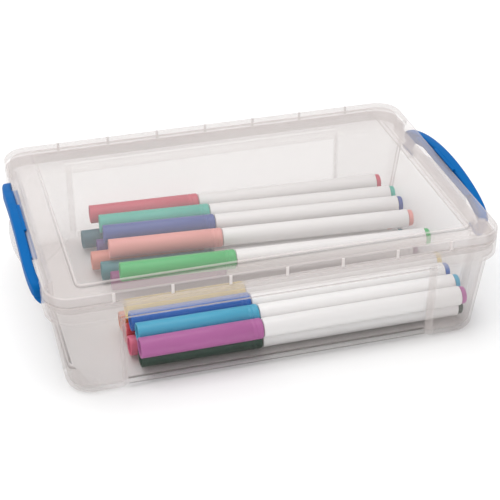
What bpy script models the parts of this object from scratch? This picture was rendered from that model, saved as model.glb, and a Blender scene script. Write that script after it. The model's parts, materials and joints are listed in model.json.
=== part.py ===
"""A clear plastic art supply box: tub, lid, two end latches, and the capped markers inside.

Metres, +Z up. The origin is under the middle of the box, on the plane of its feet.
+X runs along the long side towards the markers' plugs, and the front is at -Y.
"""
import math

import bmesh
import bpy
from mathutils import Matrix, Vector

MM = 0.001
GAP = 0.3 * MM                   # clearance between pieces that rest on each other

# The mouldings' outline
RIM_HALF_X = 106.0 * MM          # rim band and lid skirt
RIM_HALF_Y = 73.4 * MM
WALL = 1.3 * MM
CORNER_RADIUS = 12.0 * MM
CORNER_STEPS = 5

# The tub
FOOT_HEIGHT = 1.2 * MM
FLOOR_TOP = FOOT_HEIGHT + WALL
BASE_HALF_X = 98.8 * MM          # corner columns at the bottom
BASE_HALF_Y = 69.9 * MM
BASE_RADIUS = 4.5 * MM           # round bottom edge
BAND_INSET = 2.8 * MM            # how far the end columns stand inside the rim band
FRONT_BAND_INSET = 2.4 * MM      # and the front and back ones
BAND_CHAMFER_Z = 39.2 * MM
BAND_Z = 42.2 * MM
RIM_Z = 50.3 * MM
FRONT_RECESS_HALF = 72.0 * MM    # the recessed middles of the walls
FRONT_RECESS = 1.7 * MM
END_RECESS_HALF = 48.0 * MM
END_RECESS = 2.0 * MM
RECESS_SLOPE = 2.2 * MM
FOOT_FRONT_HALF = 74.0 * MM      # where each foot's slanted edge meets the walls
FOOT_END_HALF = 38.0 * MM
SPARE = 5.0 * MM                 # how far cutting shapes reach past what they cut

# Where a latch sits, the rims are set back
LATCH_ZONE_HALF = 51.0 * MM
BAND_SETBACK = 2.4 * MM
END_RIM_Z = 48.6 * MM
TAB_HALF = 30.0 * MM             # finger tab under the latch's bow
TAB_REACH = 111.9 * MM
TAB_Z = 43.6 * MM
TAB_THICKNESS = 1.6 * MM
TAB_STEPS = 12
TAB_ROUNDNESS = 0.98             # 1 would make the tab half an ellipse

# The lid
LIP_BOTTOM_Z = 46.0 * MM
LIP_HALF_X = 104.3 * MM
LIP_HALF_Y = 71.7 * MM
SKIRT_Z = RIM_Z + GAP
FLANGE_Z = 53.9 * MM             # underside of the lid's flange
LID_TOP_Z = 55.3 * MM
PANEL_TOP_Z = 56.5 * MM
PANEL_HALF_X = 91.7 * MM
PANEL_HALF_Y = 65.4 * MM
PANEL_RADIUS = 3.0 * MM
LID_EDGE = 0.6 * MM              # broken edges along the top
LIP_END_FACE = 101.7 * MM        # the lip's outer face behind a latch
LIP_ZONE_HALF = 54.0 * MM        # the lip stays back a little further along than the skirt

# The latches: upright bails that grip the lid's edge and turn on pins in the tub's lugs
PIVOT_X = 105.0 * MM
PIVOT_Z = 40.6 * MM
PIN_RADIUS = 1.1 * MM
PIN_FROM = 38.0 * MM             # the pins' inner ends, along Y
PIN_SIDES = 12
LUG_FROM = 37.0 * MM
LUG_TO = 42.9 * MM
LUG_BORE = 1.4 * MM
LUG_PROFILE = [(100.5, 38.6), (106.2, 38.6), (107.0, 39.4), (107.0, 42.2), (105.8, 43.5),
               (103.0, 43.5), (102.9, 42.6), (100.5, 39.3)]      # (x, z) in mm
LEG_FROM = 43.2 * MM
LEG_TO = 48.2 * MM
LEG_PROFILE = [(105.0, 38.8), (106.3, 39.3), (108.0, 41.6), (108.6, 44.0), (108.6, 48.8),
               (105.9, 48.8), (105.9, 44.4), (103.9, 42.0), (103.2, 40.6), (103.7, 39.3)]
BOW_HALF = 49.5 * MM
BOW_IN = 106.3 * MM
BOW_OUT = 110.7 * MM
BOW_TOP = 57.3 * MM
BOW_DEPTH = 6.4 * MM
BOW_ARCH = 3.4                   # per metre: how the bow falls with the square of the distance along
BOW_TUCK = 2.2 * MM              # how far its ends come in under the lid's edge
BOW_TUCK_POWER = 7
BOW_STEPS = 22
GRIP_HALF = 12.0 * MM            # the lip over the lid's edge
GRIP_IN = 105.2 * MM
GRIP_LOW = 55.6 * MM
GRIP_HIGH = 56.7 * MM
LEDGE_HALF = 32.0 * MM           # and the one under it
LEDGE_IN = 103.6 * MM
LEDGE_LOW = 52.1 * MM
LEDGE_HIGH = 53.5 * MM
LIP_ROOT = 107.5 * MM            # how far into the bow both lips are rooted

# The markers
MARKER_LENGTH = 158.0 * MM
MARKER_SIDES = 10
CAP_LENGTH = 57.5 * MM
CAP_RADIUS = 4.9 * MM
CAP_HOLLOW_RADIUS = 3.9 * MM
CAP_HOLLOW_DEPTH = 12.0 * MM
CAP_BORE = 3.55 * MM
CAP_BORE_START = 40.0 * MM
BARREL_RADIUS = 4.6 * MM
NECK_RADIUS = 3.2 * MM
NECK_START = 42.0 * MM
BARREL_END = 155.3 * MM
SOCKET_RADIUS = 3.55 * MM
SOCKET_START = 149.0 * MM
PLUG_RADIUS = 4.2 * MM
SPIGOT_RADIUS = 3.2 * MM
SPIGOT_START = 150.0 * MM
PLUG_ROUND = 0.8 * MM

CLEAR = (0.86, 0.85, 0.84)
LATCH_BLUE = (0.0, 0.16, 0.49)
WHITE = (0.86, 0.86, 0.86)

# Each marker: its colour, the middle of its cap's open end, and its far end's y and z, in mm
MARKERS = {
    "bottle_green": ((0.01, 0.05, 0.03), (-64, -57.0, 7.6), (-57.2, 7.6)),
    "pink": ((0.75, 0.14, 0.24), (-67, -46.8, 7.6), (-44.0, 7.6)),
    "red": ((0.60, 0.03, 0.05), (-67, -36.6, 7.6), (-33.0, 7.6)),
    "orange": ((0.72, 0.16, 0.03), (-67, -26.0, 7.6), (-22.5, 7.6)),
    "plum": ((0.28, 0.05, 0.20), (-64, 10.0, 7.6), (0.0, 7.6)),
    "teal": ((0.03, 0.22, 0.25), (-67, 20.5, 7.6), (10.5, 7.6)),
    "coral": ((0.80, 0.30, 0.24), (-70, 31.5, 7.6), (22.0, 7.6)),
    "violet": ((0.11, 0.06, 0.26), (-65, 42.5, 7.6), (33.5, 7.6)),
    "dark_teal": ((0.01, 0.14, 0.19), (-71, 53.5, 7.6), (47.0, 7.6)),
    "orchid": ((0.48, 0.13, 0.37), (-65, -62.2, 16.4), (-62.2, 16.8)),
    "cyan": ((0.06, 0.40, 0.60), (-64, -52.2, 17.8), (-52.0, 17.2)),
    "blue": ((0.02, 0.13, 0.47), (-65, -41.8, 17.8), (-41.8, 17.8)),
    "yellow": ((0.85, 0.62, 0.12), (-65, -31.6, 17.8), (-31.2, 17.8)),
    "green": ((0.08, 0.45, 0.15), (-61, 1.0, 17.8), (-8.6, 17.8)),
    "salmon": ((0.86, 0.38, 0.32), (-62, 24.0, 17.8), (11.5, 17.8)),
    "navy": ((0.03, 0.06, 0.27), (-62, 38.5, 17.8), (26.5, 17.8)),
    "mint": ((0.10, 0.50, 0.40), (-62, 49.5, 17.8), (38.0, 17.8)),
    "rose": ((0.62, 0.07, 0.14), (-65, 60.5, 17.8), (52.5, 17.8)),
}


def clear_scene():
    for thing in list(bpy.data.objects):
        bpy.data.objects.remove(thing, do_unlink=True)


def new_collection(name):
    group = bpy.data.collections.new(name)
    bpy.context.scene.collection.children.link(group)
    return group


def plastic(name, colour, roughness=0.35, alpha=1.0):
    material = bpy.data.materials.new(name)
    material.use_nodes = True
    shader = material.node_tree.nodes["Principled BSDF"]
    shader.inputs["Base Color"].default_value = (*colour, 1.0)
    shader.inputs["Roughness"].default_value = roughness
    shader.inputs["Metallic"].default_value = 0.0
    shader.inputs["Alpha"].default_value = alpha
    return material


def object_from_bmesh(name, bm, group, material=None):
    mesh = bpy.data.meshes.new(name)
    bm.to_mesh(mesh)
    bm.free()
    thing = bpy.data.objects.new(name, mesh)
    group.objects.link(thing)
    if material:
        mesh.materials.append(material)
    return thing


def mirrored_quadrant(points):
    """The whole anticlockwise outline from the points of its +X +Y quadrant."""
    back_left = [(-x, y) for x, y in reversed(points)]
    front_left = [(-x, -y) for x, y in points]
    front_right = [(x, -y) for x, y in reversed(points)]
    return points + back_left + front_left + front_right


def outline(half_x, half_y, radius, front=(FRONT_RECESS_HALF, 0.0), end=(END_RECESS_HALF, 0.0)):
    """A rounded rectangle whose sides have sunken middles, given as (half width, depth)."""
    front_half, front_depth = front
    end_half, end_depth = end
    points = [(half_x - end_depth, end_half), (half_x, end_half + RECESS_SLOPE)]
    for step in range(CORNER_STEPS + 1):
        angle = math.pi / 2 * step / CORNER_STEPS
        points.append((half_x - radius + radius * math.cos(angle),
                       half_y - radius + radius * math.sin(angle)))
    points += [(front_half + RECESS_SLOPE, half_y), (front_half, half_y - front_depth)]
    return mirrored_quadrant(points)


def skin(rings):
    """One closed mesh through rings of points that all have as many points."""
    bm = bmesh.new()
    rings = [[bm.verts.new(point) for point in ring] for ring in rings]
    count = len(rings[0])
    for low, high in zip(rings, rings[1:]):
        for i in range(count):
            j = (i + 1) % count
            bm.faces.new((low[i], low[j], high[j], high[i]))
    bm.faces.new(list(reversed(rings[0])))
    bm.faces.new(rings[-1])
    return bm


def loft(name, sections, group, material=None):
    """A body through level sections of (z, outline)."""
    bm = skin([[(x, y, z) for x, y in section] for z, section in sections])
    bmesh.ops.triangulate(bm, faces=[face for face in bm.faces if len(face.verts) > 4])
    return object_from_bmesh(name, bm, group, material)


def box(name, low, high, group):
    bm = bmesh.new()
    bmesh.ops.create_cube(bm, size=1.0)
    size = Vector(high) - Vector(low)
    middle = (Vector(high) + Vector(low)) / 2
    bmesh.ops.scale(bm, vec=size, verts=bm.verts)
    bmesh.ops.translate(bm, vec=middle, verts=bm.verts)
    return object_from_bmesh(name, bm, group)


def prism(name, points, low_z, high_z, group):
    """A flat outline, anticlockwise, raised from low_z to high_z."""
    bm = bmesh.new()
    face = bm.faces.new([bm.verts.new((x, y, low_z)) for x, y in points])
    raised = bmesh.ops.extrude_face_region(bm, geom=[face])["geom"]
    verts = [item for item in raised if isinstance(item, bmesh.types.BMVert)]
    bmesh.ops.translate(bm, vec=(0.0, 0.0, high_z - low_z), verts=verts)
    bmesh.ops.recalc_face_normals(bm, faces=bm.faces)
    return object_from_bmesh(name, bm, group)


def bar_along_y(name, points, low_y, high_y, group):
    """A flat outline of (x, z), anticlockwise, drawn out from low_y to high_y."""
    bm = skin([[(x, y, z) for x, z in points] for y in (high_y, low_y)])
    return object_from_bmesh(name, bm, group)


def rod_along_y(name, x, z, radius, low_y, high_y, sides, group):
    turn = 2 * math.pi / sides
    points = [(x + radius * math.cos(turn * i), z + radius * math.sin(turn * i)) for i in range(sides)]
    return bar_along_y(name, points, low_y, high_y, group)


def combine(target, other, operation):
    """Add a live Boolean on the target, and hide the other shape as a guide."""
    other.hide_render = True
    other.display_type = "WIRE"
    step = target.modifiers.new(f"{operation.lower()} {other.name}", "BOOLEAN")
    step.operation = operation
    step.solver = "EXACT"
    step.object = other


def mirror_pair(low, high):
    """The same box at +X and turned half round the origin at -X."""
    left_low = (-high[0], -high[1], low[2])
    left_high = (-low[0], -low[1], high[2])
    return [(low, high), (left_low, left_high)]


def tub_sections():
    front = (FRONT_RECESS_HALF, FRONT_RECESS)
    end = (END_RECESS_HALF, END_RECESS)
    column_x = RIM_HALF_X - BAND_INSET
    column_y = RIM_HALF_Y - FRONT_BAND_INSET
    band_end = (LATCH_ZONE_HALF, BAND_SETBACK)
    band_front = (FRONT_RECESS_HALF, 0.0)
    sections = []
    for angle in (0, 30, 60, 90):
        inset = BASE_RADIUS * (1 - math.sin(math.radians(angle)))
        height = BASE_RADIUS * (1 - math.cos(math.radians(angle)))
        sections.append((height, outline(BASE_HALF_X - inset, BASE_HALF_Y - inset,
                                         CORNER_RADIUS - inset, front, end)))
    sections += [
        (BAND_CHAMFER_Z, outline(column_x, column_y, CORNER_RADIUS, front, end)),
        (BAND_Z, outline(RIM_HALF_X, RIM_HALF_Y, CORNER_RADIUS, band_front, band_end)),
        (RIM_Z, outline(RIM_HALF_X, RIM_HALF_Y, CORNER_RADIUS, band_front, band_end)),
        (RIM_Z, outline(RIM_HALF_X - WALL, RIM_HALF_Y - WALL, CORNER_RADIUS - WALL,
                        band_front, band_end)),
        (BAND_Z + WALL / 2, outline(RIM_HALF_X - WALL, RIM_HALF_Y - WALL, CORNER_RADIUS - WALL,
                                    band_front, band_end)),
        (BAND_CHAMFER_Z + WALL / 2, outline(column_x - WALL, column_y - WALL,
                                            CORNER_RADIUS - WALL, front, end)),
        (BASE_RADIUS, outline(BASE_HALF_X - WALL, BASE_HALF_Y - WALL, CORNER_RADIUS - WALL,
                              front, end)),
        (FLOOR_TOP, outline(BASE_HALF_X - 2 * WALL, BASE_HALF_Y - 2 * WALL,
                            CORNER_RADIUS - 2 * WALL, front, end)),
    ]
    return sections


def foot_gap_outline():
    """The underside between the feet: a rectangle with slanted corners, past the walls."""
    return mirrored_quadrant([
        (RIM_HALF_X, FOOT_END_HALF), (BASE_HALF_X, FOOT_END_HALF),
        (FOOT_FRONT_HALF, BASE_HALF_Y), (FOOT_FRONT_HALF, RIM_HALF_Y)])


def placed_profile(points, side=1, origin=(0.0, 0.0)):
    """A latch profile in metres about an origin, mirrored at the -X end and kept anticlockwise."""
    placed = [(side * x * MM - origin[0], z * MM - origin[1]) for x, z in points]
    return placed if side > 0 else list(reversed(placed))


def tab_outline(side):
    """The tab's rounded outline, rooted inside the end band at +X (side 1) or -X (side -1)."""
    root = RIM_HALF_X - BAND_SETBACK - WALL / 2
    points = []
    for step in range(TAB_STEPS + 1):
        along = 2 * step / TAB_STEPS - 1
        bulge = math.sqrt(1 - TAB_ROUNDNESS * along ** 2)
        points.append((root + (TAB_REACH - root) * bulge, TAB_HALF * along))
    points = [(root, -TAB_HALF)] + points + [(root, TAB_HALF)]
    return [(side * x, side * y) for x, y in points]


def build_tub(parts, guides, material):
    tub = loft("tub", tub_sections(), parts, material)
    combine(tub, prism("foot_gap", foot_gap_outline(), -SPARE, FOOT_HEIGHT, guides), "DIFFERENCE")
    rim_cut = mirror_pair((RIM_HALF_X - 2 * SPARE, -LATCH_ZONE_HALF, END_RIM_Z),
                          (RIM_HALF_X + SPARE, LATCH_ZONE_HALF, RIM_Z + SPARE))
    for low, high in rim_cut:
        combine(tub, box("end_rim_cut", low, high, guides), "DIFFERENCE")
    for side in (1, -1):
        for hand in (1, -1):
            low_y, high_y = sorted((hand * LUG_FROM, hand * LUG_TO))
            profile = placed_profile(LUG_PROFILE, side)
            combine(tub, bar_along_y("pin_lug", profile, low_y, high_y, guides), "UNION")
            bore = rod_along_y("pin_bore", side * PIVOT_X, PIVOT_Z, LUG_BORE, low_y - GAP,
                               high_y + GAP, PIN_SIDES, guides)
            combine(tub, bore, "DIFFERENCE")
    for side in (1, -1):
        tab = prism("finger_tab", tab_outline(side), TAB_Z, TAB_Z + TAB_THICKNESS, guides)
        combine(tub, tab, "UNION")
    return tub


def lid_sections():
    end_skirt = (LATCH_ZONE_HALF + WALL, 0.0)
    end_lip = (LIP_ZONE_HALF + WALL / 2, LIP_HALF_X - LIP_END_FACE)
    edge = LID_EDGE
    lip_in_x = LIP_HALF_X - WALL
    lip_in_y = LIP_HALF_Y - WALL
    lip_radius = CORNER_RADIUS - (RIM_HALF_X - LIP_HALF_X)
    front = (FRONT_RECESS_HALF, 0.0)
    panel_end = (LATCH_ZONE_HALF, 0.0)
    return [
        (PANEL_TOP_Z - WALL, outline(PANEL_HALF_X - WALL, PANEL_HALF_Y - WALL,
                                     PANEL_RADIUS - WALL, front, panel_end)),
        (FLANGE_Z, outline(PANEL_HALF_X - WALL, PANEL_HALF_Y - WALL,
                           PANEL_RADIUS - WALL, front, panel_end)),
        (FLANGE_Z, outline(lip_in_x, lip_in_y, lip_radius - WALL, front, end_lip)),
        (LIP_BOTTOM_Z, outline(lip_in_x, lip_in_y, lip_radius - WALL, front, end_lip)),
        (LIP_BOTTOM_Z, outline(LIP_HALF_X, LIP_HALF_Y, lip_radius, front, end_skirt)),
        (SKIRT_Z, outline(LIP_HALF_X, LIP_HALF_Y, lip_radius, front, end_skirt)),
        (SKIRT_Z, outline(RIM_HALF_X, RIM_HALF_Y, CORNER_RADIUS, front, end_skirt)),
        (LID_TOP_Z - edge, outline(RIM_HALF_X, RIM_HALF_Y, CORNER_RADIUS, front, end_skirt)),
        (LID_TOP_Z, outline(RIM_HALF_X - edge, RIM_HALF_Y - edge, CORNER_RADIUS - edge,
                            front, end_skirt)),
        (LID_TOP_Z, outline(PANEL_HALF_X, PANEL_HALF_Y, PANEL_RADIUS, front, panel_end)),
        (PANEL_TOP_Z, outline(PANEL_HALF_X - edge, PANEL_HALF_Y - edge, PANEL_RADIUS - edge,
                              front, panel_end)),
    ]


def build_lid(parts, guides, material):
    lid = loft("lid", lid_sections(), parts, material)
    space = mirror_pair((LIP_END_FACE, -LATCH_ZONE_HALF, LIP_BOTTOM_Z - SPARE),
                        (RIM_HALF_X + SPARE, LATCH_ZONE_HALF, FLANGE_Z))
    space += mirror_pair((LIP_END_FACE, -LIP_ZONE_HALF, LIP_BOTTOM_Z - SPARE),
                         (RIM_HALF_X + SPARE, LIP_ZONE_HALF, SKIRT_Z))
    for low, high in space:
        combine(lid, box("latch_space", low, high, guides), "DIFFERENCE")
    return lid


def bow_rings():
    rings = []
    for step in range(BOW_STEPS + 1):
        y = BOW_HALF * (1 - 2 * step / BOW_STEPS)
        top = BOW_TOP - BOW_ARCH * y ** 2 - PIVOT_Z
        low = top - BOW_DEPTH
        tuck = BOW_TUCK * abs(y / BOW_HALF) ** BOW_TUCK_POWER + PIVOT_X
        inner, outer = BOW_IN - tuck, BOW_OUT - tuck
        rings.append([(inner, y, low), (outer, y, low), (outer, y, top), (inner, y, top)])
    return rings


def build_latch(name, side, parts, guides, material):
    """The bail is built about its pins' axis, so its origin is its hinge."""
    latch = object_from_bmesh(name, skin(bow_rings()), parts, material)
    shapes = []
    for hand in (1, -1):
        low_y, high_y = sorted((hand * LEG_FROM, hand * LEG_TO))
        profile = placed_profile(LEG_PROFILE, 1, (PIVOT_X, PIVOT_Z))
        shapes.append(bar_along_y(f"{name}_leg", profile, low_y, high_y, guides))
        low_y, high_y = sorted((hand * PIN_FROM, hand * (LEG_FROM + LEG_TO) / 2))
        shapes.append(rod_along_y(f"{name}_pin", 0.0, 0.0, PIN_RADIUS, low_y, high_y, PIN_SIDES, guides))
    for inner, half, low, high in ((GRIP_IN, GRIP_HALF, GRIP_LOW, GRIP_HIGH),
                                   (LEDGE_IN, LEDGE_HALF, LEDGE_LOW, LEDGE_HIGH)):
        shapes.append(box(f"{name}_lip", (inner - PIVOT_X, -half, low - PIVOT_Z),
                          (LIP_ROOT - PIVOT_X, half, high - PIVOT_Z), guides))
    for shape in shapes:
        shape.parent = latch
        combine(latch, shape, "UNION")
    latch.location = (side * PIVOT_X, 0.0, PIVOT_Z)
    latch.rotation_euler = (0.0, 0.0, 0.0 if side > 0 else math.pi)
    return latch


def turned(name, profile, parent, parts, material):
    """A solid of revolution about the marker's own axis, from its outline of (radius, along)."""
    bm = bmesh.new()
    verts = [bm.verts.new((radius, 0.0, along)) for radius, along in profile]
    for start, finish in zip(verts, verts[1:]):
        bm.edges.new((start, finish))
    piece = object_from_bmesh(name, bm, parts, material)
    screw = piece.modifiers.new("turn", "SCREW")
    screw.axis = "Z"
    screw.steps = MARKER_SIDES
    screw.render_steps = MARKER_SIDES
    screw.use_smooth_shade = True
    screw.use_merge_vertices = True
    screw.merge_threshold = 0.00001
    piece.parent = parent
    return piece


def cap_profile():
    return [(0.0, CAP_BORE_START), (CAP_BORE, CAP_BORE_START), (CAP_BORE, CAP_LENGTH),
            (CAP_RADIUS, CAP_LENGTH), (CAP_RADIUS, 0.0), (CAP_HOLLOW_RADIUS, 0.0),
            (CAP_HOLLOW_RADIUS, CAP_HOLLOW_DEPTH), (0.0, CAP_HOLLOW_DEPTH)]


def barrel_profile():
    shoulder = CAP_LENGTH + GAP
    return [(0.0, SOCKET_START), (SOCKET_RADIUS, SOCKET_START), (SOCKET_RADIUS, BARREL_END),
            (BARREL_RADIUS, BARREL_END), (BARREL_RADIUS, shoulder), (NECK_RADIUS, shoulder),
            (NECK_RADIUS, NECK_START), (0.0, NECK_START)]


def plug_profile():
    head = BARREL_END + GAP
    return [(0.0, MARKER_LENGTH), (PLUG_RADIUS - PLUG_ROUND, MARKER_LENGTH),
            (PLUG_RADIUS, MARKER_LENGTH - PLUG_ROUND), (PLUG_RADIUS, head),
            (SPIGOT_RADIUS, head), (SPIGOT_RADIUS, SPIGOT_START), (0.0, SPIGOT_START)]


def build_marker(name, colour, start, finish, parts, white):
    """An empty carries the marker: its +Z runs from the cap's open end to the plug."""
    open_end = Vector(start) * MM
    run_y = finish[0] * MM - open_end.y
    run_z = finish[1] * MM - open_end.z
    run_x = math.sqrt(MARKER_LENGTH ** 2 - run_y ** 2 - run_z ** 2)
    direction = Vector((run_x, run_y, run_z)).normalized()
    side = direction.cross(Vector((0.0, 0.0, 1.0))).normalized()
    holder = bpy.data.objects.new(f"{name}_axis", None)
    parts.objects.link(holder)
    turn = Matrix((side, side.cross(direction) * -1.0, direction)).transposed()
    holder.matrix_world = Matrix.Translation(open_end) @ turn.to_4x4()
    ink = plastic(name, colour)
    turned(f"cap_{name}", cap_profile(), holder, parts, ink)
    turned(f"barrel_{name}", barrel_profile(), holder, parts, white)
    turned(f"plug_{name}", plug_profile(), holder, parts, ink)


def main():
    clear_scene()
    parts = new_collection("art_supply_box")
    guides = new_collection("guides")
    clear_plastic = plastic("clear_plastic", CLEAR, 0.3, 0.3)
    blue_plastic = plastic("latch_blue", LATCH_BLUE)
    white_plastic = plastic("barrel_white", WHITE)
    build_tub(parts, guides, clear_plastic)
    build_lid(parts, guides, clear_plastic)
    build_latch("latch_right", 1, parts, guides, blue_plastic)
    build_latch("latch_left", -1, parts, guides, blue_plastic)
    for name, (colour, start, finish) in MARKERS.items():
        build_marker(name, colour, start, finish, parts, white_plastic)


main()
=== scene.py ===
import json
import math

import bmesh
import bpy
from mathutils import Matrix, Vector


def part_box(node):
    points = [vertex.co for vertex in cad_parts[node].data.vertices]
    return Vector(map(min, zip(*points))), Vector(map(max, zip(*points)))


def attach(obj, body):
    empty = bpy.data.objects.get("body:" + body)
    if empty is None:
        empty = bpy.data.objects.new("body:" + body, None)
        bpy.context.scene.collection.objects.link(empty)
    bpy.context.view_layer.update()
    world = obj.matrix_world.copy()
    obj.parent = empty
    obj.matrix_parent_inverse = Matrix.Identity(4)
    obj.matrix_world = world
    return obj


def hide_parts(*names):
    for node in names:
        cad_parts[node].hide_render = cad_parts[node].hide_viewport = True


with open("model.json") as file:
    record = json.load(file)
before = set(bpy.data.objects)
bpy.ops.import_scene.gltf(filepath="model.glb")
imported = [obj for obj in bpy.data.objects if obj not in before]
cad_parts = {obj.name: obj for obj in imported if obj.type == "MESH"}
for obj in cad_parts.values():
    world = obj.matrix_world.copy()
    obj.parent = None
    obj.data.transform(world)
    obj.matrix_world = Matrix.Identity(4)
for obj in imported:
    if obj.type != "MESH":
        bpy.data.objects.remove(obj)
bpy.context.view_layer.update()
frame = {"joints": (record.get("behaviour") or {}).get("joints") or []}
mm = 0.001   # the sizes below are in millimetres

studio = {
    "cameraPlace": (-159.3, -572.3, 384.5),
    "cameraTurn": (58.52, 0.0, -15.99),
    "lens": 101.06,
    "floorSize": 8.0,
    "floorTone": 0.93,
    "skyStrength": 0.68,
    "softboxes": [   # name, place in m, size in m, power in W
        ("overhead softbox", (-0.3, 0.1, 1.6), 1.6, 19.0),
        ("front fill", (-0.7, -1.4, 1.0), 1.0, 2.5),
    ],
}


class Signal:
    # a node socket that takes part in Python arithmetic
    def __init__(self, tree, socket=None):
        self.tree = tree
        self.socket = socket

    def make(self, kind, settings=None, values=None, out=0):
        node = self.tree.nodes.new(kind)
        for key, value in (settings or {}).items():
            setattr(node, key, value)
        for key, value in (values or {}).items():
            self.feed(node.inputs[key], value)
        return Signal(self.tree, node.outputs[out]) if len(node.outputs) else node

    def feed(self, socket, value):
        if isinstance(value, Signal):
            self.tree.links.new(value.socket, socket)
        else:
            socket.default_value = value

    def also(self, name):   # another output of the same node
        return Signal(self.tree, self.socket.node.outputs[name])

    def math(self, operation, *values):
        return self.make("ShaderNodeMath", {"operation": operation}, dict(enumerate(values)))

    def __add__(self, other): return self.math("ADD", self, other)
    def __radd__(self, other): return self.math("ADD", other, self)
    def __sub__(self, other): return self.math("SUBTRACT", self, other)
    def __rsub__(self, other): return self.math("SUBTRACT", other, self)
    def __mul__(self, other): return self.math("MULTIPLY", self, other)
    def __rmul__(self, other): return self.math("MULTIPLY", other, self)
    def __pow__(self, other): return self.math("POWER", self, other)

    def blend(self, low, high):   # between two colours, by this signal
        return self.make("ShaderNodeMix", {"data_type": "RGBA"}, {0: self, 6: low, 7: high}, out=2)

    def noise(self, scale, detail=2.0, rough=0.5, stretch=(1.0, 1.0, 1.0)):
        place = self.make("ShaderNodeMapping", {}, {"Vector": self, "Scale": stretch})
        return self.make("ShaderNodeTexNoise", {}, {"Vector": place, "Scale": scale, "Detail": detail,
                                                    "Roughness": rough})


def newMaterial(name):
    material = bpy.data.materials.new(name)
    material.use_nodes = True
    tree = material.node_tree
    shader = tree.nodes["Principled BSDF"]
    place = Signal(tree).make("ShaderNodeTexCoord", out="Object")
    return material, shader, place


def paint(shader, place, **sockets):
    for name, value in sockets.items():
        place.feed(shader.inputs[name.replace("_", " ")], value)


def bumped(place, height, strength, distance):
    return place.make("ShaderNodeBump", {}, {"Strength": strength, "Distance": distance, "Height": height})


# Milky polypropylene. Each mesh carries a haze value: 0 on a clear wall, up to 1 on a thick or doubled place
# and on a painted highlight along an edge, and below 0 along a moulded corner and under the tub's front wall,
# where a painted shade line and a painted shadow stand for the dark lines seen there.
plasticLook = {"clearTone": (0.60, 0.54, 0.52), "milkyAndHighlightTone": (0.86, 0.80, 0.785),
               "darkTone": (0.10, 0.085, 0.075),
               "milkyAndHighlightHaze": 0.78, "darkHaze": 0.7, "grazeHaze": 0.5, "grazePower": 3.4, "grain": 900.0,
               "flowTint": 0.97, "cloudRough": 0.12, "grainRough": 0.05, "flowBump": 0.7, "grainBump": 0.3,
               "bumpStrength": 0.12, "bumpDistance": 0.0004,
               "backFrom": 30, "backShare": 0.45, "backHaze": 0.14}
tubFinish = {"clearHaze": 0.02, "cloud": 0.5, "cloudScale": 28.0, "flowScale": 9.0, "rough": 0.14}
lidFinish = {"clearHaze": 0.065, "cloud": 0.35, "cloudScale": 22.0, "flowScale": 7.0, "rough": 0.18}


def clearPlastic(name, look):
    base = plasticLook
    material, shader, place = newMaterial(name)
    cloud = place.noise(look["cloudScale"], 3.0)
    flow = place.noise(look["flowScale"], 4.0, 0.6, (0.35, 1.6, 1.0))
    grain = place.noise(base["grain"], 1.0)
    value = place.make("ShaderNodeAttribute", {"attribute_name": "haze"}, out="Fac")
    white = value.math("MINIMUM", value.math("MAXIMUM", value, 0.0), 1.0)
    paintedShade = value.math("MINIMUM", value.math("MAXIMUM", 0.0 - value, 0.0), 1.0)
    graze = place.make("ShaderNodeLayerWeight", {}, {"Blend": 0.5}, out="Facing") ** base["grazePower"]
    haze = look["clearHaze"] * (1.0 + look["cloud"] * (cloud + flow - 1.0))
    # painted light: white edges become opaque painted highlights, and values below 0 become opaque dark
    # painted shade lines
    haze = haze + (base["milkyAndHighlightHaze"] - haze) * white + (base["darkHaze"] - haze) * paintedShade
    haze = haze + (1.0 - haze) * (base["grazeHaze"] * graze)
    # the tone is lighter on thick places and painted highlights, and nearly black on painted shade lines
    tone = white.blend(base["clearTone"] + (1.0,), base["milkyAndHighlightTone"] + (1.0,))
    tone = paintedShade.blend(tone, base["darkTone"] + (1.0,))
    faint = (base["flowTint"],) * 3 + (1.0,)
    tone = flow.make("ShaderNodeMix", {"data_type": "RGBA", "blend_type": "MULTIPLY"},
                     {0: 1.0, 6: tone, 7: flow.blend(faint, (1.0, 1.0, 1.0, 1.0))}, out=2)
    rough = look["rough"] + base["cloudRough"] * (cloud - 0.5) + base["grainRough"] * grain
    height = base["flowBump"] * flow + base["grainBump"] * grain
    paint(shader, place, Base_Color=tone, Roughness=rough, Alpha=haze, IOR=1.49,
          Normal=bumped(place, height, base["bumpStrength"], base["bumpDistance"]))
    return material


latchFinish = {"tone": (0.0, 0.125, 0.40), "shade": (0.0, 0.108, 0.35),
               "rough": 0.45, "grain": 700.0, "gloss": 0.08}
barrelFinish = {"tone": (0.90, 0.885, 0.88), "shade": (0.86, 0.85, 0.845),
                "rough": 0.3, "grain": 600.0, "gloss": 0.4}
inkFinish = {"shadeFactor": 0.86, "rough": 0.3, "grain": 600.0, "gloss": 0.35}
mouldLook = {"flowScale": 60.0, "scuffScale": 220.0, "scuffFrom": 0.55, "scuffTo": 0.75, "grainRough": 0.08,
             "scuffRough": 0.12, "bumpStrength": 0.1, "bumpDistance": 0.0002}


def mouldedPlastic(name, tone, shade, rough, grain, gloss):
    look = mouldLook
    material, shader, place = newMaterial(name)
    flow = place.noise(look["flowScale"], 3.0, 0.55, (0.3, 1.0, 1.0))
    fine = place.noise(grain, 2.0)
    scuff = place.noise(look["scuffScale"], 4.0, 0.7, (0.15, 1.0, 1.0))
    scuffed = place.make("ShaderNodeMapRange", {},
                         {"Value": scuff, "From Min": look["scuffFrom"], "From Max": look["scuffTo"]})
    colour = flow.blend(shade + (1.0,), tone + (1.0,))
    paint(shader, place, Base_Color=colour, IOR=1.5, Specular_IOR_Level=gloss,
          Roughness=rough + look["grainRough"] * fine + look["scuffRough"] * scuffed,
          Normal=bumped(place, 0.5 * flow + 0.5 * fine, look["bumpStrength"], look["bumpDistance"]))
    return material


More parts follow.
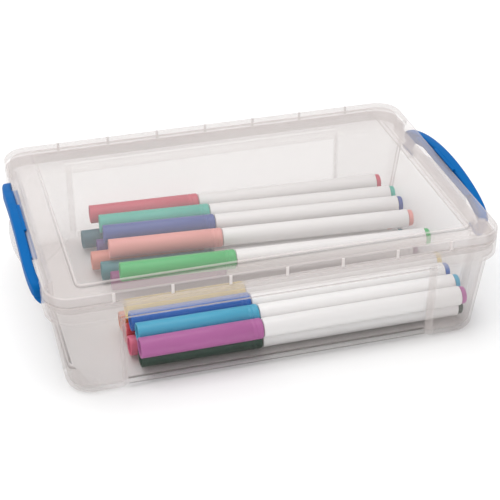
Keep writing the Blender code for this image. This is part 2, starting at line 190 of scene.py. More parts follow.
def meshObject(name, bm, material=None):
    mesh = bpy.data.meshes.new(name)
    bm.to_mesh(mesh)
    bm.free()
    if material:
        mesh.materials.append(material)
    piece = bpy.data.objects.new(name, mesh)
    bpy.context.scene.collection.objects.link(piece)
    return piece


def shadeRound(piece, degrees=32):
    piece.data.shade_smooth()
    piece.data.set_sharp_from_angle(angle=math.radians(degrees))


def settle(piece):
    # the modifiers' result becomes the piece's own plain mesh
    view = bpy.context.evaluated_depsgraph_get()
    old = piece.data
    piece.data = bpy.data.meshes.new_from_object(piece.evaluated_get(view))
    piece.data.name = piece.name
    piece.modifiers.clear()
    bpy.data.meshes.remove(old)
    return piece


def skinned(name, rings, material):
    # one closed skin through rings of equally many points, in mm; a fourth number is the haze there, which
    # also carries painted highlights and painted shade
    bm = bmesh.new()
    haze = bm.verts.layers.float.new("haze")
    loops = []
    for ring in rings:
        loops.append([bm.verts.new(Vector(point[:3]) * mm) for point in ring])
        for vert, point in zip(loops[-1], ring):
            vert[haze] = point[3] if len(point) > 3 else 0.0
    count = len(rings[0])
    for low, high in zip(loops, loops[1:]):
        for i in range(count):
            j = (i + 1) % count
            bm.faces.new((low[i], low[j], high[j], high[i]))
    bm.faces.new(list(reversed(loops[0])))
    bm.faces.new(loops[-1])
    bmesh.ops.recalc_face_normals(bm, faces=bm.faces)
    return meshObject(name, bm, material)


def block(name, low, high, edge=0.0):
    bm = bmesh.new()
    size = (Vector(high) - Vector(low)) * mm
    middle = (Vector(high) + Vector(low)) * mm / 2
    bmesh.ops.create_cube(bm, size=1.0)
    bmesh.ops.scale(bm, vec=size, verts=bm.verts)
    bmesh.ops.translate(bm, vec=middle, verts=bm.verts)
    if edge:
        bmesh.ops.bevel(bm, geom=bm.edges, offset=edge * mm, segments=3, profile=0.5, affect="EDGES")
    return meshObject(name, bm)


def slab(name, points, direction, near, far, edge=0.0):
    # a flat outline pushed through along y or z
    bm = bmesh.new()
    place = (lambda a, b, t: (a, t, b)) if direction == "y" else (lambda a, b, t: (a, b, t))
    verts = [bm.verts.new(Vector(place(a, b, near)) * mm) for a, b in points]
    face = bm.faces.new(verts)
    pushed = bmesh.ops.extrude_face_region(bm, geom=[face])["geom"]
    shift = Vector(place(0.0, 0.0, far - near)) * mm
    bmesh.ops.translate(bm, vec=shift, verts=[v for v in pushed if isinstance(v, bmesh.types.BMVert)])
    bmesh.ops.recalc_face_normals(bm, faces=bm.faces)
    if edge:
        sharp = [e for e in bm.edges if e.calc_face_angle(0.0) > math.radians(50)]
        bmesh.ops.bevel(bm, geom=sharp, offset=edge * mm, segments=2, profile=0.5, affect="EDGES")
    return meshObject(name, bm)


def carve(target, other, operation="DIFFERENCE"):
    step = target.modifiers.new(operation.lower(), "BOOLEAN")
    step.operation = operation
    step.solver = "EXACT"
    step.object = other
    settle(target)
    bpy.data.objects.remove(other, do_unlink=True)


def circle(x, z, radius, first=0, last=360, steps=28):
    turn = math.radians(last - first) / steps
    angles = [math.radians(first) + turn * k for k in range(steps + (last - first < 360))]
    return [(x + radius * math.cos(angle), z + radius * math.sin(angle)) for angle in angles]


def bothEnds(low, high):
    return [(low, high), ((-high[0], low[1], low[2]), (-low[0], high[1], high[2]))]


def finished(piece, body, slot, *nodes):
    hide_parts(*nodes)
    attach(piece, body)
    return piece


def smoothSteps(count):
    # an S curve from 0 to 1, as a moulded step is rounded at its foot and its edge
    return [(k / count, (k / count) ** 2 * (3 - 2 * k / count)) for k in range(count + 1)]


def mirroredQuarter(points):
    # the quarter at +x +y, and the rest of the outline, anticlockwise
    return (points + [(-p[0],) + p[1:] for p in reversed(points)]
            + [(-p[0], -p[1]) + p[2:] for p in points] + [(p[0], -p[1]) + p[2:] for p in reversed(points)])


def wallOutline(half, corner, front, end, slope):
    # a rounded rectangle whose front and end walls may be sunk in their middles: (half width, depth)
    halfX, halfY = half
    frontHalf, frontDepth = front
    endHalf, endDepth = end
    guard = 0.8
    quarter = [(halfX - endDepth, endHalf - guard, "wall")]
    quarter += [(halfX - endDepth * (1 - rise), endHalf + slope * t, "step") for t, rise in smoothSteps(6)]
    quarter.append((halfX, endHalf + slope + guard, "column"))
    for k in range(13):
        angle = math.pi / 2 * k / 12
        quarter.append((halfX - corner + corner * math.cos(angle), halfY - corner + corner * math.sin(angle),
                        "column"))
    quarter.append((frontHalf + slope + guard, halfY, "column"))
    quarter += [(frontHalf + slope * t, halfY - frontDepth * (1 - rise), "step")
                for t, rise in reversed(smoothSteps(6))]
    quarter.append((frontHalf - guard, halfY - frontDepth, "wall"))
    return mirroredQuarter(quarter)


def ring(z, haze, *shape):
    # the haze, with its painted highlights and painted shade, is one number, or one each for the sunk walls,
    # the steps beside them and the columns
    wall, step, column = haze if isinstance(haze, tuple) else (haze, haze, haze)
    amount = {"wall": wall, "step": step, "column": column}
    look = plasticLook
    # at the back the painted highlights and painted shade are made fainter, and an even haze is added
    even = {part: look["backShare"] * amount[part] + look["backHaze"] for part in amount}   # at the back
    return [(x, y, z, (even if y > look["backFrom"] else amount)[part]) for x, y, part in wallOutline(*shape)]


# The tub: four columns with the walls sunk between them, a band round its rim, and four low feet.
tubShape = {
    "baseHalf": (98.8, 69.9), "columnHalf": (103.2, 71.0), "rimHalf": (106.0, 73.4),
    "corner": 12.0, "wall": 1.3, "baseRound": 4.5, "footHeight": 1.2,
    "chamferZ": 39.2, "bandZ": 42.2, "rimZ": 50.3, "edge": 0.45,
    "front": (72.0, 1.7), "end": (48.0, 2.0), "slope": 2.2,
    "bandEnd": (51.0, 2.4), "endRimZ": 48.6,
    "footFront": 74.0, "footEnd": 38.0,
    "lug": (37.0, 42.9),
    "lugProfile": [(100.5, 38.6), (106.2, 38.6), (107.0, 39.4), (107.0, 42.2), (105.8, 43.5), (103.0, 43.5),
                   (102.9, 42.6), (100.5, 39.3)],
    "pivot": (105.0, 40.6), "bore": 1.4,
    "tabHalf": 30.0, "tabReach": 111.9, "tabZ": (43.6, 45.2), "tabRoundness": 0.98,
    # painted light: the foot's -1.0 on the sunk walls is a painted shadow along the bottom edge between the
    # feet, the ledge foot's high values a painted highlight line, and the ledge top's values below 0 a
    # painted shade line
    "haze": {"floor": 0.34, "foot": (-1.0, 0.1, 0.22), "walls": (0.0, 0.4, 0.12),
             "ledgeFoot": (0.6, 0.5, 0.25), "ledge": (0.35, 0.35, 0.3), "ledgeTop": (-0.55, -0.3, 0.3),
             "band": (0.42, 0.42, 0.36), "rim": 0.5},
}


def inset(half, by):
    return (half[0] - by, half[1] - by)


def tubRings(s):
    wall, slope, corner = s["wall"], s["slope"], s["corner"]
    haze = s["haze"]
    flat = (s["front"][0], 0.0)
    sunk = (s["front"], s["end"], slope)
    banded = (flat, s["bandEnd"], slope)
    by = s["baseRound"] + 1.0
    rings = [ring(0.0, haze["floor"], inset(s["baseHalf"], by), corner - by, *sunk)]
    for k in range(9):
        angle = math.pi / 2 * k / 8
        by = s["baseRound"] * (1 - math.sin(angle))
        rings.append(ring(s["baseRound"] * (1 - math.cos(angle)), haze["foot"] if k < 6 else haze["walls"],
                          inset(s["baseHalf"], by), corner - by, *sunk))
    rings.append(ring(s["baseRound"] + 1.0, haze["walls"], s["baseHalf"], corner, *sunk))
    rings.append(ring(s["chamferZ"] - 0.9, haze["walls"], s["columnHalf"], corner, *sunk))
    rings.append(ring(s["chamferZ"] - 0.4, haze["ledgeFoot"], s["columnHalf"], corner, *sunk))
    for t, rise in smoothSteps(5):   # the ledge under the band, rounded at both ends
        half = [a + (b - a) * rise for a, b in zip(s["columnHalf"], s["rimHalf"])]
        front = (s["front"][0], s["front"][1] * (1 - rise))
        end = tuple(a + (b - a) * rise for a, b in zip(s["end"], s["bandEnd"]))
        z = s["chamferZ"] + (s["bandZ"] - s["chamferZ"]) * t
        rings.append(ring(z, haze["ledgeFoot"] if t < 0.3 else haze["ledge"] if t < 0.9 else haze["ledgeTop"],
                          half, corner, front, end, slope))
    rings.append(ring(s["bandZ"] + 0.7, haze["band"], s["rimHalf"], corner, *banded))
    middle = wall / 2
    rings.append(ring(s["rimZ"] - s["edge"] - 0.4, haze["band"], s["rimHalf"], corner, *banded))
    for k in range(9):   # over the rim
        angle = math.pi * k / 8
        by = middle - middle * math.cos(angle)
        z = s["rimZ"] - s["edge"] + s["edge"] * math.sin(angle)
        rings.append(ring(z, haze["rim"], inset(s["rimHalf"], by), corner - by, *banded))
    within = inset(s["rimHalf"], wall)
    rings.append(ring(s["rimZ"] - s["edge"] - 0.8, haze["band"], within, corner - wall, *banded))
    rings.append(ring(s["bandZ"] + middle, haze["band"], within, corner - wall, *banded))
    within = inset(s["columnHalf"], wall)
    rings.append(ring(s["chamferZ"] + middle, haze["walls"], within, corner - wall, *sunk))
    for k in range(6):
        angle = math.pi / 2 * (1 - k / 5)
        bend = s["baseRound"] - wall
        by = wall + bend * (1 - math.sin(angle))
        z = s["footHeight"] + wall + bend * (1 - math.cos(angle))
        rings.append(ring(z, haze["walls"] if k < 1 else haze["foot"] if k < 4 else haze["floor"],
                          inset(s["baseHalf"], by), corner - by, *sunk))
    by = s["baseRound"] + 1.0
    rings.append(ring(s["footHeight"] + wall, haze["floor"], inset(s["baseHalf"], by), corner - by, *sunk))
    return rings


def buildTub(material):
    s = tubShape
    tub = skinned("clearTub", tubRings(s), material)
    rimX, rimY = s["rimHalf"]
    gap = mirroredQuarter([(rimX, s["footEnd"]), (s["baseHalf"][0], s["footEnd"]),
                           (s["footFront"], s["baseHalf"][1]), (s["footFront"], rimY)])
    carve(tub, slab("footGap", gap, "z", -5.0, s["footHeight"]))
    for low, high in bothEnds((rimX - 10, -s["bandEnd"][0], s["endRimZ"]), (rimX + 5, s["bandEnd"][0], 60.0)):
        carve(tub, block("rimCut", low, high))
    root = rimX - s["bandEnd"][1] - s["wall"] / 2
    for side in (1, -1):
        tab = [(side * root, -s["tabHalf"])]
        for k in range(33):
            along = k / 16 - 1
            bulge = math.sqrt(1 - s["tabRoundness"] * along ** 2)
            tab.append((side * (root + (s["tabReach"] - root) * bulge), s["tabHalf"] * along))
        tab.append((side * root, s["tabHalf"]))
        carve(tub, slab("fingerTab", tab, "z", *s["tabZ"], edge=0.3), "UNION")
        for hand in (1, -1):
            near, far = sorted(hand * y for y in s["lug"])
            profile = [(side * x, z) for x, z in s["lugProfile"]]
            carve(tub, slab("pinLug", profile, "y", near, far, edge=0.25), "UNION")
            carve(tub, slab("pinBore", circle(side * s["pivot"][0], s["pivot"][1], s["bore"]), "y",
                            near - 0.3, far + 0.3))
    shadeRound(tub)
    return finished(tub, "tub", "clear_plastic", "tub")


# The lid: a skirt over the rim, a lip inside it, and a raised panel.
lidShape = {
    "half": (106.0, 73.4), "corner": 12.0, "wall": 1.3, "slope": 2.2,
    "lipHalf": (104.3, 71.7), "lipZ": 46.0, "skirtZ": 50.6, "flangeZ": 53.9, "topZ": 55.3,
    "panelHalf": (91.7, 65.4), "panelCorner": 3.0, "panelZ": 56.5, "edge": 1.1, "panelEdge": 0.55,
    "panelFillet": 0.35,
    "latchHalf": 51.0, "lipLatchHalf": 54.0, "lipEndFace": 101.7,
    # painted light: the lid's outer edge and the panel's upper edge carry painted highlights, and the foot of
    # the panel and of the skirt painted shade lines
    "haze": {"panel": 0.0, "flange": 0.34, "lip": 0.3, "skirt": 0.42, "skirtFootShade": -0.3, "edge": 0.55,
             "panelFootShade": -0.5, "panelEdge": 0.5},
}
# the ribs are painted fully white as a painted highlight, and fainter at the back
ribShape = {"count": 7, "pitch": 26.0, "offset": 1.0, "width": 1.4, "depth": 0.9, "height": 4.2,
            "fillet": 0.3, "z": 50.75, "proud": 0.3, "haze": 1.0, "backShare": 0.35}


def lidRings(s):
    wall, slope = s["wall"], s["slope"]
    haze = s["haze"]
    flat = (tubShape["front"][0], 0.0)
    edged = (flat, (s["latchHalf"] + wall, 0.0), slope)
    lipped = (flat, (s["lipLatchHalf"] + wall / 2, s["lipHalf"][0] - s["lipEndFace"]), slope)
    raised = (flat, (s["latchHalf"], 0.0), slope)
    lipCorner = s["corner"] - (s["half"][0] - s["lipHalf"][0])
    panelCorner = s["panelCorner"]
    within = inset(s["panelHalf"], wall)
    rings = [ring(s["panelZ"] - wall, haze["panel"], within, panelCorner - wall, *raised),
             ring(s["flangeZ"], haze["flange"], within, panelCorner - wall, *raised),
             ring(s["flangeZ"], haze["flange"], inset(s["lipHalf"], wall), lipCorner - wall, *lipped)]
    for k in range(7):   # round the lip's lower edge
        angle = math.pi * k / 6
        by = wall / 2 + wall / 2 * math.cos(angle)
        rings.append(ring(s["lipZ"] + 0.4 - 0.4 * math.sin(angle), haze["lip"], inset(s["lipHalf"], by),
                          lipCorner - by, *(lipped if k < 3 else edged)))
    rings.append(ring(s["skirtZ"], haze["lip"], s["lipHalf"], lipCorner, *edged))
    rings.append(ring(s["skirtZ"], haze["skirtFootShade"], inset(s["half"], 0.3), s["corner"] - 0.3, *edged))
    rings.append(ring(s["skirtZ"] + 0.3, haze["skirtFootShade"], s["half"], s["corner"], *edged))
    rings.append(ring(s["skirtZ"] + 0.8, haze["skirt"], s["half"], s["corner"], *edged))
    for k in range(7):   # the lid's outer edge
        angle = math.pi / 2 * k / 6
        by = s["edge"] * (1 - math.cos(angle))
        rings.append(ring(s["topZ"] - s["edge"] + s["edge"] * math.sin(angle),
                          haze["edge"] if 2 < k < 6 else haze["skirt"], inset(s["half"], by),
                          s["corner"] - by, *edged))
    by = s["edge"] + 0.6
    rings.append(ring(s["topZ"], haze["flange"], inset(s["half"], by), s["corner"] - by, *edged))
    rings.append(ring(s["topZ"], haze["flange"], inset(s["panelHalf"], -1.2), panelCorner + 1.2, *raised))
    for k in range(4):   # the fillet at the foot of the panel
        angle = math.pi / 2 * k / 3
        by = s["panelFillet"] * (1 - math.sin(angle))
        z = s["topZ"] + s["panelFillet"] * (1 - math.cos(angle))
        rings.append(ring(z, haze["panelFootShade"], inset(s["panelHalf"], -by), panelCorner + by, *raised))
    step = s["panelEdge"]
    for k in range(5):   # and its upper edge
        angle = math.pi / 2 * k / 4
        by = step * (1 - math.cos(angle))
        rings.append(ring(s["panelZ"] - step + step * math.sin(angle), haze["panelEdge"],
                          inset(s["panelHalf"], by), panelCorner - by, *raised))
    for by, amount in ((step + 0.3, haze["panelEdge"]), (step + 0.9, haze["panel"])):
        rings.append(ring(s["panelZ"], amount, inset(s["panelHalf"], by), panelCorner - step, *raised))
    return rings


def buildLid(material):
    s = lidShape
    lid = skinned("clearLid", lidRings(s), material)
    for half, top in ((s["latchHalf"], s["flangeZ"]), (s["lipLatchHalf"], s["skirtZ"])):
        for low, high in bothEnds((s["lipEndFace"], -half, s["lipZ"] - 5), (s["half"][0] + 5, half, top)):
            carve(lid, block("latchSpace", low, high))
    shadeRound(lid)
    return finished(lid, "lid", "clear_plastic", "lid")


def treeInput(tree, name, kind, default=None):
    socket = tree.interface.new_socket(name, in_out="INPUT", socket_type="NodeSocket" + kind)
    if default is not None:
        socket.default_value = default
    return socket


def ribRowTree():
    # a row of filleted upright ribs
    tree = bpy.data.node_groups.new("ribRow", "GeometryNodeTree")
    treeInput(tree, "Geometry", "Geometry")
    treeInput(tree, "Count", "Int", 7)
    for name in ("Pitch", "Width", "Depth", "Height", "Fillet"):
        treeInput(tree, name, "Float", 0.001)
    treeInput(tree, "Haze", "Float", 1.0)
    treeInput(tree, "Start", "Vector")
    treeInput(tree, "Finish", "Material")
    tree.interface.new_socket("Geometry", in_out="OUTPUT", socket_type="NodeSocketGeometry")
    given = Signal(tree).make("NodeGroupInput")
    up = given.make("ShaderNodeCombineXYZ", {}, {"Z": given.also("Height")})
    across = given.make("ShaderNodeCombineXYZ", {}, {"X": given.also("Pitch")})
    spine = given.make("GeometryNodeCurvePrimitiveLine", {}, {"End": up})
    section = given.make("GeometryNodeCurvePrimitiveQuadrilateral", {},
                         {"Width": given.also("Width"), "Height": given.also("Depth")})
    section = given.make("GeometryNodeFilletCurve", {"mode": "POLY"},
                         {"Curve": section, "Radius": given.also("Fillet"), "Count": 3})
    rib = given.make("GeometryNodeCurveToMesh", {},
                     {"Curve": spine, "Profile Curve": section, "Fill Caps": True})
    row = given.make("GeometryNodeMeshLine", {"mode": "OFFSET"},
                     {"Count": given.also("Count"), "Start Location": given.also("Start"), "Offset": across})
    ribs = given.make("GeometryNodeInstanceOnPoints", {}, {"Points": row, "Instance": rib})
    ribs = given.make("GeometryNodeRealizeInstances", {}, {"Geometry": ribs})
    # the stored haze carries the ribs' painted highlight
    ribs = given.make("GeometryNodeStoreNamedAttribute", {"data_type": "FLOAT", "domain": "POINT"},
                      {"Geometry": ribs, "Name": "haze", "Value": given.also("Haze")})
    ribs = given.make("GeometryNodeSetMaterial", {}, {"Geometry": ribs, "Material": given.also("Finish")})
    Signal(tree).make("NodeGroupOutput", {}, {"Geometry": ribs})
    return tree


def layAlongTree():
    # a turned piece, made upright, is laid along its marker's own line
    tree = bpy.data.node_groups.new("layAlong", "GeometryNodeTree")
    treeInput(tree, "Geometry", "Geometry")
    treeInput(tree, "Start", "Vector")
    treeInput(tree, "Run", "Vector", (1.0, 0.0, 0.0))
    treeInput(tree, "Finish", "Material")
    tree.interface.new_socket("Geometry", in_out="OUTPUT", socket_type="NodeSocketGeometry")
    given = Signal(tree).make("NodeGroupInput")
    turn = given.make("FunctionNodeAlignRotationToVector", {"axis": "Z"}, {"Vector": given.also("Run")})
    laid = given.make("GeometryNodeTransform", {},
                      {"Geometry": given, "Translation": given.also("Start"), "Rotation": turn})
    laid = given.make("GeometryNodeRealizeInstances", {}, {"Geometry": laid})
    laid = given.make("GeometryNodeSetMaterial", {}, {"Geometry": laid, "Material": given.also("Finish")})
    Signal(tree).make("NodeGroupOutput", {}, {"Geometry": laid})
    return tree


def grow(name, tree, inputs, mesh=None):
    # runs a node tree on a mesh and keeps the result as a plain mesh
    piece = bpy.data.objects.new(name, (mesh or bpy.data.meshes.new(name)).copy())
    bpy.context.scene.collection.objects.link(piece)
    step = piece.modifiers.new(tree.name, "NODES")
    step.node_group = tree
    sockets = {s.name: s.identifier for s in tree.interface.items_tree if s.in_out == "INPUT"}
    for key, value in inputs.items():
        step[sockets[key]] = value
    return settle(piece)


def buildRibs(tree, material):
    s = ribShape
    reach = s["pitch"] * (s["count"] - 1) / 2
    for name, side, haze in (("frontRibs", -1, s["haze"]), ("backRibs", 1, s["backShare"] * s["haze"])):
        y = side * (lidShape["half"][1] + s["proud"] - s["depth"] / 2)
        ribs = grow(name, tree, {"Count": s["count"], "Pitch": s["pitch"] * mm, "Width": s["width"] * mm,
                                 "Depth": s["depth"] * mm, "Height": s["height"] * mm,
                                 "Fillet": s["fillet"] * mm, "Haze": haze,
                                 "Start": ((s["offset"] - reach) * mm, y * mm, s["z"] * mm),
                                 "Finish": material})
        shadeRound(ribs)
        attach(ribs, "lid")


# A latch: an upright bail with an arched bar, which grips the lid's edge between two lips, and two legs
# that turn on pins in the tub's lugs.
latchShape = {
    "half": 49.5, "barX": (106.3, 110.7), "top": 57.3, "arch": 0.0034, "depth": 6.4, "round": 1.0,
    "nose": 2.6, "tuck": 2.2, "tuckPower": 7,
    "lips": (((105.2, 55.6), (107.5, 56.7), 12.0), ((103.6, 52.1), (107.5, 53.5), 32.0)),
    "leg": (43.2, 48.2), "eye": 1.8, "pivot": (105.0, 40.6), "pin": 1.1, "pinFrom": 38.0,
    "legBack": [(107.1, 40.4), (108.0, 41.8), (108.5, 43.2), (108.6, 44.6), (108.6, 48.8), (105.9, 48.8),
                (105.9, 44.6), (105.3, 43.2)],
}


def roundedSection(width, height, radius, steps=4):
    points = []
    for turn, (sx, sz) in enumerate(((1, 1), (-1, 1), (-1, -1), (1, -1))):
        for k in range(steps + 1):
            angle = math.pi / 2 * (turn + k / steps)
            points.append((sx * (width / 2 - radius) + radius * math.cos(angle),
                           sz * (height / 2 - radius) + radius * math.sin(angle)))
    return points


def barRing(s, y, tuck=0.0):
    # one section across the arched bar; tuck draws it in at the rounded ends
    left, right = (x - s["tuck"] * abs(y / s["half"]) ** s["tuckPower"] for x in s["barX"])
    height = s["top"] - s["arch"] * y * y - s["depth"] / 2
    section = roundedSection(right - left - 0.6 * tuck, s["depth"] - 2 * tuck, s["round"])
    return [((left + right) / 2 + a, y, height + b) for a, b in section]


def barRings(s):
    half, nose = s["half"], s["nose"]
    bends = [(math.sin(math.pi / 2 * k / 7), math.cos(math.pi / 2 * k / 7)) for k in range(8)]
    rings = [barRing(s, -half + nose - nose * c, nose * (1 - t) * 0.8) for t, c in bends]
    rings += [barRing(s, -half + nose + (2 * half - 2 * nose) * k / 64) for k in range(1, 64)]
    return rings + [barRing(s, half - nose + nose * c, nose * (1 - t) * 0.8) for t, c in reversed(bends)]


def buildLatch(name, body, node, side, material):
    s = latchShape
    latch = skinned(name, barRings(s), material)
    leg = circle(*s["pivot"], s["eye"], 120, 320, 14) + s["legBack"]
    for hand in (1, -1):
        near, far = sorted(hand * y for y in s["leg"])
        carve(latch, slab("leg", leg, "y", near, far, edge=0.35), "UNION")
        near, far = sorted((hand * s["pinFrom"], hand * sum(s["leg"]) / 2))
        carve(latch, slab("pin", circle(*s["pivot"], s["pin"]), "y", near, far), "UNION")
    for low, high, half in s["lips"]:
        carve(latch, block("lip", (low[0], -half, low[1]), (high[0], half, high[1]), edge=0.25), "UNION")
    latch.data.transform(Matrix.Rotation(0.0 if side > 0 else math.pi, 4, "Z"))
    shadeRound(latch)
    return finished(latch, body, "latch_blue", node)


# The markers, all alike but for their colours: lengths are from the cap's open end.
markerShape = {
    "length": 158.0, "sides": 40, "capLength": 57.5, "capRadius": 4.9, "capTaper": 0.12,
    "hollowRadius": 3.9, "hollowDepth": 12.0, "boreRadius": 3.55, "boreStart": 40.0,
    "barrelRadius": 4.6, "barrelEnd": 155.3, "neckRadius": 3.2, "neckStart": 47.0, "gap": 0.3,
    "nibRadius": 1.3, "nibStart": 42.2, "socketRadius": 3.55, "socketStart": 149.0,
    "plugRadius": 4.2, "spigotRadius": 3.2, "spigotStart": 150.0,
    "grooves": (3.0, 5.0), "grooveWidth": 0.45, "grooveDepth": 0.16,
}
inks = {   # each marker's colour
    "bottle_green": (0.010, 0.050, 0.030), "pink": (0.75, 0.14, 0.24), "red": (0.60, 0.03, 0.05),
    "orange": (0.72, 0.16, 0.03), "plum": (0.28, 0.05, 0.20), "teal": (0.03, 0.22, 0.25),
    "coral": (0.80, 0.30, 0.24), "violet": (0.11, 0.06, 0.26), "dark_teal": (0.01, 0.14, 0.19),
    "orchid": (0.48, 0.13, 0.37), "cyan": (0.06, 0.40, 0.60), "blue": (0.02, 0.13, 0.47),
    "yellow": (0.85, 0.62, 0.12), "green": (0.04, 0.50, 0.14), "salmon": (0.88, 0.37, 0.34),
    "navy": (0.035, 0.09, 0.36), "mint": (0.04, 0.50, 0.39), "rose": (0.68, 0.05, 0.11),
}


def arc(middleR, middleZ, radius, fromDegrees, toDegrees, steps=5):
    points = []
    for k in range(steps + 1):
        angle = math.radians(fromDegrees + (toDegrees - fromDegrees) * k / steps)
        points.append((middleR + radius * math.cos(angle), middleZ + radius * math.sin(angle)))
    return points


def capOutline(s):
    big, end = s["capRadius"], s["capLength"]
    small = big - s["capTaper"]
    points = [(0.0, s["hollowDepth"]), (s["hollowRadius"] - 0.4, s["hollowDepth"])]
    points += arc(s["hollowRadius"] - 0.4, s["hollowDepth"] - 0.4, 0.4, 90, 0)
    points += [(s["hollowRadius"], 0.5)]
    lip = (small - s["hollowRadius"]) / 2
    points += arc(s["hollowRadius"] + lip, lip, lip, 180, 360, 8)
    points += [(small, 1.2), (small + 0.6 * s["capTaper"], end / 2)]
    for back in sorted(s["grooves"], reverse=True):
        z, w, d = end - back, s["grooveWidth"], s["grooveDepth"]
        points += [(big, z - w), (big - d, z - w / 2), (big - d, z), (big, z + w / 2)]
    points += arc(big - 1.0, end - 1.0, 1.0, 0, 80, 6)
    points += [(s["boreRadius"] + 0.15, end), (s["boreRadius"], end - 0.3), (s["boreRadius"], s["boreStart"]),
               (0.0, s["boreStart"])]
    return points


def barrelOutline(s):
    r, shoulder, end = s["barrelRadius"], s["capLength"] + s["gap"], s["barrelEnd"]
    neck, nib = s["neckRadius"], s["nibRadius"]
    start = s["neckStart"]
    points = [(0.0, start - 1.5), (nib - 0.1, start - 1.5), (nib + 0.35, start - 1.2)]
    points += [(neck - 0.5, start + 3.2), (neck, start + 4.2), (neck, shoulder - 0.6)]
    points += arc(neck + 0.25, shoulder - 0.25, 0.25, 180, 90, 3)
    points += arc(r - 0.35, shoulder + 0.35, 0.35, -90, 0, 4)
    points += [(r, end / 2)]
    points += arc(r - 0.2, end - 0.2, 0.2, 0, 90, 3)
    points += [(s["socketRadius"], end), (s["socketRadius"], s["socketStart"]), (0.0, s["socketStart"])]
    return points


def nibOutline(s):
    r, tip = s["nibRadius"], s["nibStart"]
    return ([(0.0, tip)] + arc(r - 0.7, tip + 0.7, 0.7, -80, 0, 5)
            + [(r, tip + 1.6), (r, s["neckStart"] - 1.0), (0.0, s["neckStart"] - 1.0)])


def plugOutline(s):
    r, head, end = s["plugRadius"], s["barrelEnd"] + s["gap"], s["length"]
    points = [(0.0, s["spigotStart"]), (s["spigotRadius"], s["spigotStart"]), (s["spigotRadius"], head)]
    points += [(r - 0.2, head), (r, head + 0.2)]
    points += arc(r - 0.8, end - 0.8, 0.8, 0, 90, 5)
    points += [(r - 1.6, end), (r - 1.9, end - 0.3), (0.0, end - 0.35)]
    return points


def turned(name, outline, sides):
    # an outline of (radius, along) turned about z, closed with a point at each end
    bm = bmesh.new()
    rings = []
    for radius, along in outline:
        if radius < 1e-6:
            rings.append([bm.verts.new((0.0, 0.0, along * mm))])
            continue
        rings.append([bm.verts.new((radius * mm * math.cos(2 * math.pi * k / sides),
                                    radius * mm * math.sin(2 * math.pi * k / sides), along * mm))
                      for k in range(sides)])
    for low, high in zip(rings, rings[1:]):
        for k in range(sides):
            j = (k + 1) % sides
            corners = [low[k % len(low)], low[j % len(low)], high[j % len(high)], high[k % len(high)]]
            bm.faces.new(list(dict.fromkeys(corners)))
    bmesh.ops.recalc_face_normals(bm, faces=bm.faces)
    mesh = bpy.data.meshes.new(name)
    bm.to_mesh(mesh)
    bm.free()
    mesh.shade_smooth()
    mesh.set_sharp_from_angle(angle=math.radians(40))
    return mesh


def buildMarkers(tree, white):
    s = markerShape
    masters = {"Cap": turned("capMaster", capOutline(s), s["sides"]),
               "Barrel": turned("barrelMaster", barrelOutline(s), s["sides"]),
               "Nib": turned("nibMaster", nibOutline(s), 16),
               "Plug": turned("plugMaster", plugOutline(s), s["sides"])}
    pulls = {joint["name"]: Vector(joint["axis"]) for joint in frame["joints"]
             if joint["name"].startswith("cap_")}
    for ink, tone in inks.items():
        low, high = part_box("cap_" + ink)
        run = -pulls["cap_" + ink + "_pull"].normalized()
        start = (low + high) / 2 - run * (s["capLength"] * mm / 2)
        shade = tuple(c * inkFinish["shadeFactor"] for c in tone)
        colour = mouldedPlastic(ink + "_plastic", tone, shade, inkFinish["rough"], inkFinish["grain"],
                                inkFinish["gloss"])
        for part, master in masters.items():
            finish = white if part == "Barrel" else colour
            words = ink.split("_")
            name = words[0] + "".join(word.title() for word in words[1:]) + part
            piece = grow(name, tree, {"Start": tuple(start), "Run": tuple(run), "Finish": finish}, master)
            if part != "Nib":
                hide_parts(part.lower() + "_" + ink)
            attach(piece, "cap_" + ink if part == "Cap" else "tub")
    for master in masters.values():
        bpy.data.meshes.remove(master)


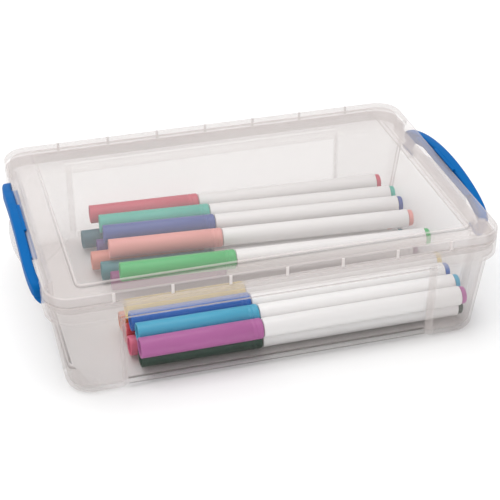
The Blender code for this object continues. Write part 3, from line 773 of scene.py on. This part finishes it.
def buildStudio(s):
    scene = bpy.context.scene
    bm = bmesh.new()
    bmesh.ops.create_grid(bm, x_segments=1, y_segments=1, size=s["floorSize"] / 2)
    material, shader, place = newMaterial("paleFloor")
    speck = place.noise(40.0, 3.0)
    pale, paler = ((s["floorTone"] * share,) * 3 + (1,) for share in (1.0, 0.99))
    paint(shader, place, Base_Color=speck.blend(pale, paler), Roughness=0.7)
    floor = meshObject("paleFloor", bm, material)
    world = bpy.data.worlds.new("whiteStudio")
    scene.world = world
    world.use_nodes = True
    back = world.node_tree.nodes["Background"]
    back.inputs["Color"].default_value = (1.0, 1.0, 1.0, 1.0)
    back.inputs["Strength"].default_value = s["skyStrength"]
    for name, place, size, power in s["softboxes"]:
        light = bpy.data.lights.new(name, "AREA")
        light.shape = "SQUARE"
        light.size = size
        light.energy = power
        lamp = bpy.data.objects.new(name, light)
        lamp.location = place
        lamp.rotation_euler = (Vector((0.0, 0.0, 0.03)) - Vector(place)).to_track_quat("-Z", "Y").to_euler()
        scene.collection.objects.link(lamp)
    lens = bpy.data.cameras.new("camera")
    lens.lens = s["lens"]
    lens.sensor_width = 36.0
    lens.clip_start = 0.01
    camera = bpy.data.objects.new("camera", lens)
    camera.location = Vector(s["cameraPlace"]) * mm
    camera.rotation_euler = [math.radians(a) for a in s["cameraTurn"]]
    scene.collection.objects.link(camera)
    scene.camera = camera
    scene.view_settings.view_transform = "Standard"
    scene.cycles.transparent_max_bounces = 32


buildStudio(studio)
print("studio: floor, lights and camera are set")
tubPlastic = clearPlastic("tubPlastic", tubFinish)
lidPlastic = clearPlastic("lidPlastic", lidFinish)
bluePlastic = mouldedPlastic("latchPlastic", *latchFinish.values())
whitePlastic = mouldedPlastic("barrelPlastic", *barrelFinish.values())
buildTub(tubPlastic)
print("tub: walls, feet, notches and finger tabs")
buildLid(lidPlastic)
buildRibs(ribRowTree(), lidPlastic)
print("lid: panel, lip and ribs")
buildLatch("rightLatch", "latch_right", "latch_right", 1, bluePlastic)
buildLatch("leftLatch", "latch_left", "latch_left", -1, bluePlastic)
print("latches: two")
buildMarkers(layAlongTree(), whitePlastic)
print("markers:", len(inks))
